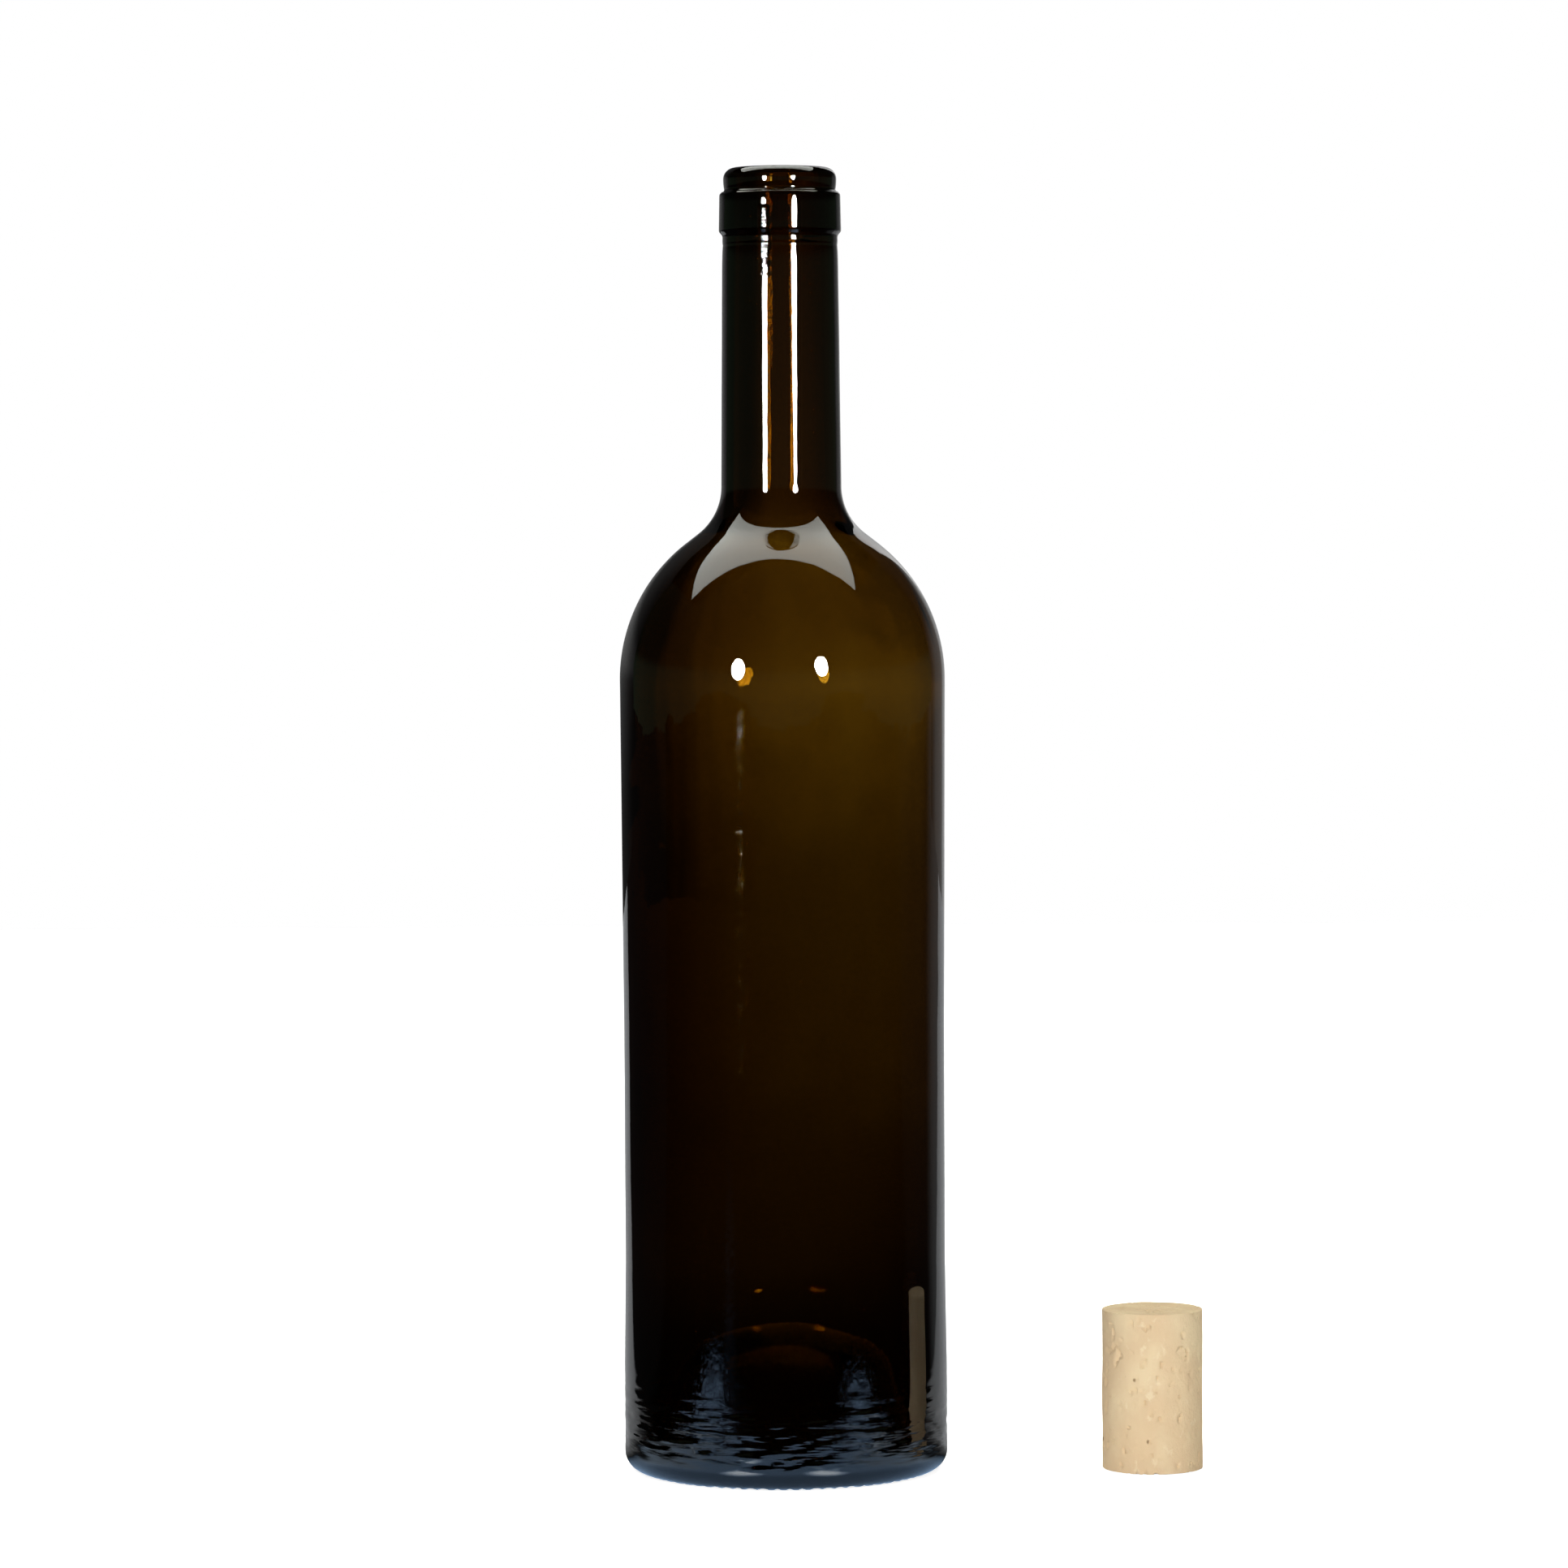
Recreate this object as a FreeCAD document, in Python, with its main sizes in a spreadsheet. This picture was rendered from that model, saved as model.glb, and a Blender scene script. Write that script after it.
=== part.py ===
"""Wine bottle with its cork, in millimetres, +Z up.

The bottle is one piece of blown glass: a straight-sided claret shape with a slightly recessed label
panel, a high round shoulder, a tall neck, a banded cork finish and a deep punt. It is empty and open.
The cork is a plain natural one, drawn and stood on its end beside the bottle.
The origin is on the bottle's axis, in the plane that it stands on. The cork stands towards +X.
"""

import FreeCAD, Part
import math
import os
import Sketcher
from FreeCAD import Vector

SIZES = {
    # outside of the body, from the ground up
    "heel_diameter": 76.6,
    "heel_rounding": 4.6,
    "bearing_width": 2.4,
    "panel_diameter": 75.9,
    "panel_bottom": 50.0,
    "panel_top": 105.0,
    "shoulder_diameter": 76.9,
    "shoulder_height": 187.0,
    "shoulder_rounding": 40.4,
    "shoulder_incline": 3.9,
    # outside of the neck
    "neck_root_diameter": 28.4,
    "neck_root_rounding": 14.1,
    "neck_top_diameter": 27.2,
    # finish: the band for a capsule, and the lip above it
    "bottle_height": 308.0,
    "lip_height": 5.8,
    "lip_diameter": 26.7,
    "lip_rounding": 3.0,
    "ledge_rounding": 0.4,
    "band_height": 9.3,
    "band_diameter": 28.9,
    "band_taper": 0.15,
    "band_rounding": 0.6,
    "band_bevel": 1.4,
    # inside
    "bore_diameter": 18.5,
    "bore_length": 45.0,
    "bore_flare": 0.75,
    "mouth_rounding": 0.8,
    "neck_wall": 3.7,
    "inner_root_rounding": 15.0,
    "shoulder_wall": 2.8,
    "panel_wall": 3.0,
    "heel_wall": 3.5,
    "heel_wall_top": 34.0,
    "valley_rounding": 1.6,
    # punt
    "punt_depth": 30.0,
    "punt_wall": 4.0,
    "punt_slope": 21.0,
    "punt_corner_rounding": 9.0,
    "punt_crown_rounding": 42.0,
    "foot_rounding": 1.5,
    # knurling: short scallops across the outer half of the foot
    "knurl_count": 72,
    "knurl_depth": 0.3,
    "knurl_radius": 1.2,
    "knurl_length": 4.0,
    "foot_land": 1.2,
    # cork
    "cork_squeeze": 5.5,
    "cork_length": 38.0,
    "cork_bevel": 0.35,
    "cork_clear_gap": 36.6,
    "cork_forward": 3.2,
}

# How far the cutting outline of the inside reaches past the lip.
CUT_OVERRUN = 2.0

START, END, CENTRE = 1, 2, 3
ORIGIN = (-1, 1)
AXIS_LINE = -2


def size(name):
    return SIZES[name]


def add_sheet(doc):
    """The driving dimensions, one row each: name, value."""
    sheet = doc.addObject("Spreadsheet::Sheet", "Sizes")
    for row, (name, value) in enumerate(SIZES.items(), start=1):
        sheet.set(f"A{row}", name)
        sheet.set(f"B{row}", str(value))
        sheet.setAlias(f"B{row}", name)
    doc.recompute()
    return sheet


def formula(text):
    """Point every size that a formula names at its cell."""
    words = text.split(" ")
    return " ".join(f"Sizes.{word}" if word in SIZES else word for word in words)


def origin_item(body, role):
    return next(item for item in body.Origin.OriginFeatures if item.Role == role)


class Outline:
    """A closed chain of lines and arcs in the XZ plane, held by formulas on the sheet's sizes."""

    def __init__(self, body, name):
        self.sketch = body.newObject("Sketcher::SketchObject", name)
        self.sketch.AttachmentSupport = (origin_item(body, "XZ_Plane"), [""])
        self.sketch.MapMode = "FlatFace"
        self.count = 0

    def line(self, start, end):
        segment = Part.LineSegment(Vector(*start, 0), Vector(*end, 0))
        return self.sketch.addGeometry(segment, False)

    def arc(self, centre, radius, first, last):
        """An arc that runs counter-clockwise from one angle to the other, in degrees."""
        circle = Part.Circle(Vector(*centre, 0), Vector(0, 0, 1), radius)
        curve = Part.ArcOfCircle(circle, math.radians(first), math.radians(last))
        return self.sketch.addGeometry(curve, False)

    def add(self, kind, *where):
        return self.sketch.addConstraint(Sketcher.Constraint(kind, *where))

    def join(self, first, first_end, second, second_end):
        self.add("Coincident", first, first_end, second, second_end)

    def blend(self, first, first_end, second, second_end):
        """Two ends meet and run on smoothly."""
        self.add("Tangent", first, first_end, second, second_end)

    def bind(self, kind, where, value, text):
        index = self.add(kind, *where, value)
        self.count += 1
        label = f"held_{self.count}"
        self.sketch.renameConstraint(index, label)
        self.sketch.setExpression(f"Constraints.{label}", formula(text))

    def radius(self, item, text):
        self.bind("Radius", (item,), self.sketch.Geometry[item].Radius, text)

    def across(self, item, end, text):
        """The distance of a point from the axis."""
        value = self.sketch.getPoint(item, end).x
        self.bind("DistanceX", (*ORIGIN, item, end), value, text)

    def up(self, item, end, text):
        """The height of a point above the ground."""
        value = self.sketch.getPoint(item, end).y
        self.bind("DistanceY", (*ORIGIN, item, end), value, text)

    def on_axis(self, item, end):
        self.add("PointOnObject", item, end, AXIS_LINE)

    def revolve(self, body, kind, name):
        """Turn the outline round the bottle's axis, as a solid or as a cut."""
        feature = body.newObject(kind, name)
        feature.Profile = self.sketch
        feature.ReferenceAxis = (self.sketch, ["V_Axis"])
        feature.Angle = 360.0
        return feature


def root_height(reach, across, incline):
    """The height of the neck root's centre above the shoulder's.

    Their arcs, whose radii add up to the reach, are joined by a straight incline of the given length.
    """
    return math.sqrt(reach**2 + incline**2 - across**2)


class Point(tuple):
    """A point of an outline: distance from the axis, height."""

    def __new__(cls, across, up):
        return super().__new__(cls, (across, up))

    def shifted(self, distance, degrees):
        turn = math.radians(degrees)
        return Point(self[0] + distance * math.cos(turn), self[1] + distance * math.sin(turn))


def lip_rounding():
    """The rounding of the lip's outer edge, which its wall beside the mouth's rounding limits."""
    room = size("lip_diameter") / 2 - size("bore_diameter") / 2 - size("mouth_rounding")
    return min(size("lip_rounding"), room)


def punt_corner(foot_contact, slope, corner, crown, crown_centre):
    """The centre of the arc that rounds the punt's side into its crown."""
    start = foot_contact.shifted(-corner, slope)
    rise = (-math.sin(math.radians(slope)), math.cos(math.radians(slope)))
    gap = (start[0] - crown_centre[0], start[1] - crown_centre[1])
    along = gap[0] * rise[0] + gap[1] * rise[1]
    beside = gap[0] ** 2 + gap[1] ** 2 - along**2
    travel = math.sqrt((crown - corner) ** 2 - beside) - along
    return Point(start[0] + travel * rise[0], start[1] + travel * rise[1])


def punt_start():
    """Where the punt's outline starts out: foot centre, foot contact, crown centre, corner centre."""
    foot_across = size("heel_diameter") / 2 - size("heel_rounding") - size("bearing_width")
    foot = Point(foot_across, size("foot_rounding"))
    contact = foot.shifted(-size("foot_rounding"), size("punt_slope"))
    crown_centre = Point(0.0, size("punt_depth") - size("punt_crown_rounding"))
    corner_centre = punt_corner(
        contact,
        size("punt_slope"),
        size("punt_corner_rounding"),
        size("punt_crown_rounding"),
        crown_centre,
    )
    return foot, contact, crown_centre, corner_centre


def angle_between(first, second):
    return math.degrees(math.atan2(second[1] - first[1], second[0] - first[0]))


def draw_punt(outline, wall, wall_text):
    """The crown, corner and side of the punt, at a distance outside its underside."""
    slope = size("punt_slope")
    _, contact, crown_centre, corner_centre = punt_start()
    crown_radius = size("punt_crown_rounding") + wall
    corner_radius = size("punt_corner_rounding") + wall
    lean = angle_between(crown_centre, corner_centre)
    crown = outline.arc(crown_centre, crown_radius, lean, 90.0)
    corner = outline.arc(corner_centre, corner_radius, slope, lean)
    side = outline.line(contact.shifted(wall, slope), corner_centre.shifted(corner_radius, slope))
    outline.on_axis(crown, CENTRE)
    outline.on_axis(crown, END)
    outline.up(crown, END, "punt_depth" + wall_text)
    outline.radius(crown, "punt_crown_rounding" + wall_text)
    outline.blend(corner, END, crown, START)
    outline.radius(corner, "punt_corner_rounding" + wall_text)
    outline.blend(side, END, corner, START)
    outline.bind("Angle", (side,), math.radians(90.0 + slope), "90 + punt_slope")
    return crown, side


def draw_shoulder(outline, wall, neck_radius, root_rounding, texts):
    """The round shoulder, a short straight incline, and the hollow root of the neck."""
    radius = size("shoulder_rounding") - wall
    centre = Point(size("shoulder_diameter") / 2 - size("shoulder_rounding"), size("shoulder_height"))
    reach = radius + root_rounding
    across = neck_radius + root_rounding - centre[0]
    rise = root_height(reach, across, size("shoulder_incline"))
    root_centre = Point(centre[0] + across, centre[1] + rise)
    straight = math.degrees(math.atan2(size("shoulder_incline"), reach))
    lean = angle_between(centre, root_centre) - straight
    shoulder = outline.arc(centre, radius, 0.0, lean)
    incline = outline.line(
        centre.shifted(radius, lean), root_centre.shifted(-root_rounding, lean)
    )
    root = outline.arc(root_centre, root_rounding, 180.0, 180.0 + lean)
    outline.across(shoulder, START, texts["shoulder"])
    outline.up(shoulder, START, "shoulder_height")
    outline.up(shoulder, CENTRE, "shoulder_height")
    outline.radius(shoulder, texts["rounding"])
    outline.blend(shoulder, END, incline, START)
    outline.bind("Distance", (incline,), size("shoulder_incline"), "shoulder_incline")
    outline.blend(incline, END, root, END)
    outline.radius(root, texts["root"])
    outline.across(root, START, texts["neck"])
    outline.add("Horizontal", root, START, root, CENTRE)
    return shoulder, root


def draw_outside(body):
    """The whole outer surface: punt, foot, heel, panel, shoulder, neck, band and lip."""
    outline = Outline(body, "OutsideOutline")
    foot, contact, _, _ = punt_start()
    heel = Point(size("heel_diameter") / 2, size("heel_rounding"))
    heel_centre = heel.shifted(-size("heel_rounding"), 0.0)
    panel_low = Point(size("panel_diameter") / 2, size("panel_bottom"))
    panel_high = Point(size("panel_diameter") / 2, size("panel_top"))
    neck_radius = size("neck_root_diameter") / 2
    top = size("bottle_height")
    ledge_up = top - size("lip_height")
    band_low = Point(size("band_diameter") / 2, ledge_up - size("band_height"))
    band_high = Point(band_low[0] - size("band_taper"), ledge_up - size("band_rounding"))
    neck_top = Point(size("neck_top_diameter") / 2, band_low[1] - size("band_bevel"))
    lip_across = size("lip_diameter") / 2
    lip_centre = Point(lip_across - lip_rounding(), top - lip_rounding())
    ledge_centre = Point(lip_across + size("ledge_rounding"), ledge_up + size("ledge_rounding"))
    band_centre = band_high.shifted(-size("band_rounding"), 0.0)

    crown, side = draw_punt(outline, 0.0, "")
    foot_arc = outline.arc(foot, size("foot_rounding"), 180.0 + size("punt_slope"), 270.0)
    bearing = outline.line((foot[0], 0.0), (heel_centre[0], 0.0))
    heel_arc = outline.arc(heel_centre, size("heel_rounding"), -90.0, 0.0)
    outline.blend(foot_arc, START, side, START)
    outline.radius(foot_arc, "foot_rounding")
    outline.blend(foot_arc, END, bearing, START)
    outline.add("Horizontal", bearing)
    outline.add("PointOnObject", bearing, START, ORIGIN[0])
    outline.across(bearing, START, "heel_diameter / 2 - heel_rounding - bearing_width")
    outline.blend(bearing, END, heel_arc, START)
    outline.radius(heel_arc, "heel_rounding")
    outline.across(heel_arc, END, "heel_diameter / 2")
    outline.up(heel_arc, END, "heel_rounding")

    shoulder, root = draw_shoulder(
        outline,
        0.0,
        neck_radius,
        size("neck_root_rounding"),
        {
            "shoulder": "shoulder_diameter / 2",
            "rounding": "shoulder_rounding",
            "root": "neck_root_rounding",
            "neck": "neck_root_diameter / 2",
        },
    )
    shoulder_start = Point(size("shoulder_diameter") / 2, size("shoulder_height"))
    lower = outline.line(heel, panel_low)
    panel = outline.line(panel_low, panel_high)
    upper = outline.line(panel_high, shoulder_start)
    outline.join(heel_arc, END, lower, START)
    outline.join(lower, END, panel, START)
    outline.add("Vertical", panel)
    outline.across(panel, START, "panel_diameter / 2")
    outline.up(panel, START, "panel_bottom")
    outline.up(panel, END, "panel_top")
    outline.join(panel, END, upper, START)
    outline.join(upper, END, shoulder, START)

    neck = outline.line(outline.sketch.getPoint(root, START)[:2], neck_top)
    bevel = outline.line(neck_top, band_low)
    band = outline.line(band_low, band_high)
    band_arc = outline.arc(band_centre, size("band_rounding"), 0.0, 90.0)
    ledge = outline.line((band_centre[0], ledge_up), (ledge_centre[0], ledge_up))
    ledge_arc = outline.arc(ledge_centre, size("ledge_rounding"), 180.0, 270.0)
    lip_side = outline.line((lip_across, ledge_centre[1]), (lip_across, lip_centre[1]))
    lip_arc = outline.arc(lip_centre, lip_rounding(), 0.0, 90.0)
    mouth = outline.line((lip_centre[0], top), (0.0, top))
    axis = outline.line((0.0, top), (0.0, size("punt_depth")))
    outline.join(root, START, neck, START)
    outline.join(neck, END, bevel, START)
    outline.across(bevel, START, "neck_top_diameter / 2")
    outline.up(bevel, START, "bottle_height - lip_height - band_height - band_bevel")
    outline.join(bevel, END, band, START)
    outline.across(band, START, "band_diameter / 2")
    outline.up(band, START, "bottle_height - lip_height - band_height")
    outline.join(band, END, band_arc, START)
    outline.across(band, END, "band_diameter / 2 - band_taper")
    outline.add("Horizontal", band_arc, START, band_arc, CENTRE)
    outline.radius(band_arc, "band_rounding")
    outline.blend(band_arc, END, ledge, START)
    outline.add("Horizontal", ledge)
    outline.up(ledge, START, "bottle_height - lip_height")
    outline.blend(ledge, END, ledge_arc, END)
    outline.radius(ledge_arc, "ledge_rounding")
    outline.blend(ledge_arc, START, lip_side, START)
    outline.add("Vertical", lip_side)
    outline.across(lip_side, START, "lip_diameter / 2")
    outline.blend(lip_side, END, lip_arc, START)
    outline.radius(
        lip_arc,
        "min( lip_rounding ; lip_diameter / 2 - bore_diameter / 2 - mouth_rounding )",
    )
    outline.blend(lip_arc, END, mouth, START)
    outline.add("Horizontal", mouth)
    outline.on_axis(mouth, END)
    outline.up(mouth, END, "bottle_height")
    outline.join(mouth, END, axis, START)
    outline.join(axis, END, crown, END)
    return outline


def draw_inside(body):
    """The hollow: over the punt, down into the valley round it, up the wall and out at the mouth."""
    outline = Outline(body, "InsideOutline")
    slope = size("punt_slope")
    foot, contact, _, _ = punt_start()
    wall_across = size("heel_diameter") / 2 - size("heel_wall")
    valley = size("valley_rounding")
    spare = wall_across - valley - contact[0]
    lift = valley + size("punt_wall") - spare * math.cos(math.radians(slope))
    valley_centre = Point(wall_across - valley, contact[1] + lift / math.sin(math.radians(slope)))
    shoulder_start = Point(size("shoulder_diameter") / 2 - size("shoulder_wall"), size("shoulder_height"))
    top = size("bottle_height")
    bore = Point(size("bore_diameter") / 2, top - size("mouth_rounding"))
    bore_low = Point(bore[0] + size("bore_flare"), top - size("bore_length"))
    mouth_centre = bore.shifted(size("mouth_rounding"), 0.0)

    crown, side = draw_punt(outline, size("punt_wall"), " + punt_wall")
    foot_centre = outline.sketch.addGeometry(Part.Point(Vector(*foot, 0)), True)
    outline.across(foot_centre, START, "heel_diameter / 2 - heel_rounding - bearing_width")
    outline.up(foot_centre, START, "foot_rounding")
    outline.bind(
        "Distance",
        (foot_centre, START, side),
        size("punt_wall") - size("foot_rounding"),
        "punt_wall - foot_rounding",
    )
    valley_arc = outline.arc(valley_centre, valley, 180.0 + slope, 360.0)
    heel_top = Point(wall_across, size("heel_wall_top"))
    panel_low = Point(size("panel_diameter") / 2 - size("panel_wall"), size("panel_bottom"))
    panel_high = Point(panel_low[0], size("panel_top"))
    low_wall = outline.line((wall_across, valley_centre[1]), heel_top)
    taper = outline.line(heel_top, panel_low)
    panel = outline.line(panel_low, panel_high)
    high_wall = outline.line(panel_high, shoulder_start)
    outline.blend(valley_arc, START, side, START)
    outline.radius(valley_arc, "valley_rounding")
    outline.blend(valley_arc, END, low_wall, START)
    outline.add("Vertical", low_wall)
    outline.across(low_wall, END, "heel_diameter / 2 - heel_wall")
    outline.up(low_wall, END, "heel_wall_top")
    outline.join(low_wall, END, taper, START)
    outline.join(taper, END, panel, START)
    outline.add("Vertical", panel)
    outline.across(panel, START, "panel_diameter / 2 - panel_wall")
    outline.up(panel, START, "panel_bottom")
    outline.up(panel, END, "panel_top")
    outline.join(panel, END, high_wall, START)

    shoulder, root = draw_shoulder(
        outline,
        size("shoulder_wall"),
        size("neck_root_diameter") / 2 - size("neck_wall"),
        size("inner_root_rounding"),
        {
            "shoulder": "shoulder_diameter / 2 - shoulder_wall",
            "rounding": "shoulder_rounding - shoulder_wall",
            "root": "inner_root_rounding",
            "neck": "neck_root_diameter / 2 - neck_wall",
        },
    )
    outline.join(high_wall, END, shoulder, START)

    neck = outline.line(outline.sketch.getPoint(root, START)[:2], bore_low)
    throat = outline.line(bore_low, bore)
    mouth_arc = outline.arc(mouth_centre, size("mouth_rounding"), 90.0, 180.0)
    rise = outline.line((mouth_centre[0], top), (mouth_centre[0], top + CUT_OVERRUN))
    cover = outline.line((mouth_centre[0], top + CUT_OVERRUN), (0.0, top + CUT_OVERRUN))
    axis = outline.line((0.0, top + CUT_OVERRUN), (0.0, size("punt_depth") + size("punt_wall")))
    outline.join(root, START, neck, START)
    outline.join(neck, END, throat, START)
    outline.across(throat, START, "bore_diameter / 2 + bore_flare")
    outline.up(throat, START, "bottle_height - bore_length")
    outline.join(throat, END, mouth_arc, END)
    outline.across(throat, END, "bore_diameter / 2")
    outline.radius(mouth_arc, "mouth_rounding")
    outline.up(mouth_arc, START, "bottle_height")
    outline.add("Vertical", mouth_arc, START, mouth_arc, CENTRE)
    outline.join(mouth_arc, START, rise, START)
    outline.add("Vertical", rise)
    outline.up(rise, END, f"bottle_height + {CUT_OVERRUN}")
    outline.join(rise, END, cover, START)
    outline.add("Horizontal", cover)
    outline.on_axis(cover, END)
    outline.join(cover, END, axis, START)
    outline.join(axis, END, crown, END)
    return outline


def knurl_foot(doc, body):
    """Scallops cut across the foot from its plain inner land outwards, repeated all the way round."""
    sketch = body.newObject("Sketcher::SketchObject", "KnurlEnd")
    sketch.AttachmentSupport = (origin_item(body, "YZ_Plane"), [""])
    sketch.MapMode = "FlatFace"
    sketch.setExpression(
        "AttachmentOffset.Base.z",
        formula("heel_diameter / 2 - heel_rounding - bearing_width + foot_land"),
    )
    centre_up = size("knurl_depth") - size("knurl_radius")
    circle = Part.Circle(Vector(0, centre_up, 0), Vector(0, 0, 1), size("knurl_radius"))
    sketch.addGeometry(circle, False)
    sketch.addConstraint(Sketcher.Constraint("PointOnObject", 0, CENTRE, AXIS_LINE))
    held = {
        "knurl_radius": (Sketcher.Constraint("Radius", 0, size("knurl_radius")), "knurl_radius"),
        "centre_up": (
            Sketcher.Constraint("DistanceY", *ORIGIN, 0, CENTRE, centre_up),
            "knurl_depth - knurl_radius",
        ),
    }
    for label, (constraint, text) in held.items():
        sketch.renameConstraint(sketch.addConstraint(constraint), label)
        sketch.setExpression(f"Constraints.{label}", formula(text))
    doc.recompute()
    before = body.Shape.Volume
    pocket = body.newObject("PartDesign::Pocket", "Knurl")
    pocket.Profile = sketch
    pocket.Reversed = True
    pocket.setExpression("Length", formula("knurl_length"))
    doc.recompute()
    pattern = body.newObject("PartDesign::PolarPattern", "Knurling")
    pattern.Originals = [pocket]
    pattern.Axis = (origin_item(body, "Z_Axis"), [""])
    pattern.Angle = 360.0
    pattern.setExpression("Occurrences", formula("knurl_count"))
    body.Tip = pattern
    doc.recompute()
    cut = before - body.Shape.Volume
    if cut <= 0:
        raise RuntimeError("the knurling cut nothing")
    print(f"knurling takes {cut:.1f} cubic mm off the foot")


def make_bottle(doc):
    """One piece of glass: the outside turned as a solid, the inside turned out, the foot knurled."""
    body = doc.addObject("PartDesign::Body", "bottle")
    body.Label = "bottle"
    outside = draw_outside(body)
    doc.recompute()
    outside.revolve(body, "PartDesign::Revolution", "Outside")
    doc.recompute()
    inside = draw_inside(body)
    doc.recompute()
    inside.revolve(body, "PartDesign::Groove", "Inside")
    doc.recompute()
    knurl_foot(doc, body)
    return body


def make_cork(doc):
    """A straight cork, wider than the bore it was drawn from, with both its ends just broken."""
    body = doc.addObject("PartDesign::Body", "cork")
    body.Label = "cork"
    sketch = body.newObject("Sketcher::SketchObject", "CorkEnd")
    sketch.AttachmentSupport = (origin_item(body, "XY_Plane"), [""])
    sketch.MapMode = "FlatFace"
    cork_radius = (size("bore_diameter") + size("cork_squeeze")) / 2
    sketch.addGeometry(Part.Circle(Vector(0, 0, 0), Vector(0, 0, 1), cork_radius), False)
    sketch.addConstraint(Sketcher.Constraint("Coincident", 0, CENTRE, *ORIGIN))
    held = sketch.addConstraint(Sketcher.Constraint("Radius", 0, cork_radius))
    sketch.renameConstraint(held, "cork_radius")
    sketch.setExpression("Constraints.cork_radius", formula("( bore_diameter + cork_squeeze ) / 2"))
    pad = body.newObject("PartDesign::Pad", "CorkLength")
    pad.Profile = sketch
    pad.setExpression("Length", formula("cork_length"))
    doc.recompute()
    rims = [
        f"Edge{number}"
        for number, edge in enumerate(pad.Shape.Edges, start=1)
        if isinstance(edge.Curve, Part.Circle)
    ]
    bevel = body.newObject("PartDesign::Chamfer", "CorkEnds")
    bevel.Base = (pad, rims)
    bevel.setExpression("Size", formula("cork_bevel"))
    body.setExpression(
        "Placement.Base.x",
        formula("heel_diameter / 2 + cork_clear_gap + ( bore_diameter + cork_squeeze ) / 2"),
    )
    body.setExpression("Placement.Base.y", formula("0 - cork_forward"))
    doc.recompute()
    return body


def check(doc, bodies):
    """Stop unless every object computed and every piece is one valid solid."""
    for item in doc.Objects:
        if {"Invalid", "Error"} & set(item.State):
            raise RuntimeError(f"{item.Name} did not compute: {item.State}")
    for body in bodies:
        shape = body.Shape
        if shape.isNull() or not shape.isValid() or len(shape.Solids) != 1:
            raise RuntimeError(f"{body.Label} is not one valid solid")


def main():
    doc = FreeCAD.newDocument("WineBottle")
    add_sheet(doc)
    bodies = [make_bottle(doc), make_cork(doc)]
    check(doc, bodies)
    os.makedirs("parts", exist_ok=True)
    for body in bodies:
        body.Shape.exportStep(f"parts/{body.Label}.step")
        print(body.Label, f"{body.Shape.Volume / 1000:.2f} ml of material", body.Shape.BoundBox)


main()
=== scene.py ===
"""Looks of an empty dark wine bottle and its drawn cork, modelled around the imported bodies."""

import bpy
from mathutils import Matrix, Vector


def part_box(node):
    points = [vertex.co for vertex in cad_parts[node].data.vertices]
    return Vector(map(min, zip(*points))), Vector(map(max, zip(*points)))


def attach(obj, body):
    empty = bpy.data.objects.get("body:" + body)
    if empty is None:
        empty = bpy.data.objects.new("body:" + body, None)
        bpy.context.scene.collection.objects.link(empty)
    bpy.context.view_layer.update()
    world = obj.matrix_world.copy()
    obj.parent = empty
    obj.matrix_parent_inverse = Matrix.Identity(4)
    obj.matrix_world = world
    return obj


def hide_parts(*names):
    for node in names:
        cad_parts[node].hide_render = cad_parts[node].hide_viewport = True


bl_info = {
    "name": "Wine bottle and cork",
    "version": (1, 0, 0),
    "blender": (4, 5, 0),
    "location": "View3D > Sidebar > Bottle",
    "description": "Blows a dark glass bottle with a beaded seam and a knurled foot, and cuts its cork",
    "category": "Object",
}

import math

import bpy
from bpy.props import FloatProperty, FloatVectorProperty, PointerProperty
from mathutils import Matrix, Vector

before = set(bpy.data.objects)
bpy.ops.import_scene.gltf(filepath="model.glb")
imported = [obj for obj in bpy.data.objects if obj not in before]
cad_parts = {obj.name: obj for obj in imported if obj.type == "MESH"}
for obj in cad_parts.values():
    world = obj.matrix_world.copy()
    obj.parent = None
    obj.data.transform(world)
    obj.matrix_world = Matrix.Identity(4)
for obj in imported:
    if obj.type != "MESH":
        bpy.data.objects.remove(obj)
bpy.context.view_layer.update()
BOTTLE_LOW, BOTTLE_HIGH = (Vector(corner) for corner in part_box("bottle"))
CORK_LOW, CORK_HIGH = (Vector(corner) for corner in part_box("cork"))

BODY = "root"
MM = 0.001
SAME_PLACE = 1e-6
WHITE = (1.0, 1.0, 1.0)


# ---------------------------------------------------------------- sizes and colours


def length(name, default, description):
    return FloatProperty(name=name, description=description, default=default, unit="LENGTH", precision=5)


def angle(name, degrees, description):
    return FloatProperty(name=name, description=description, default=math.radians(degrees), subtype="ANGLE")


def number(name, default, description):
    return FloatProperty(name=name, description=description, default=default)


def colour(name, default, description):
    return FloatVectorProperty(
        name=name, description=description, default=default, subtype="COLOR", min=0.0, max=1.0
    )


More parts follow.
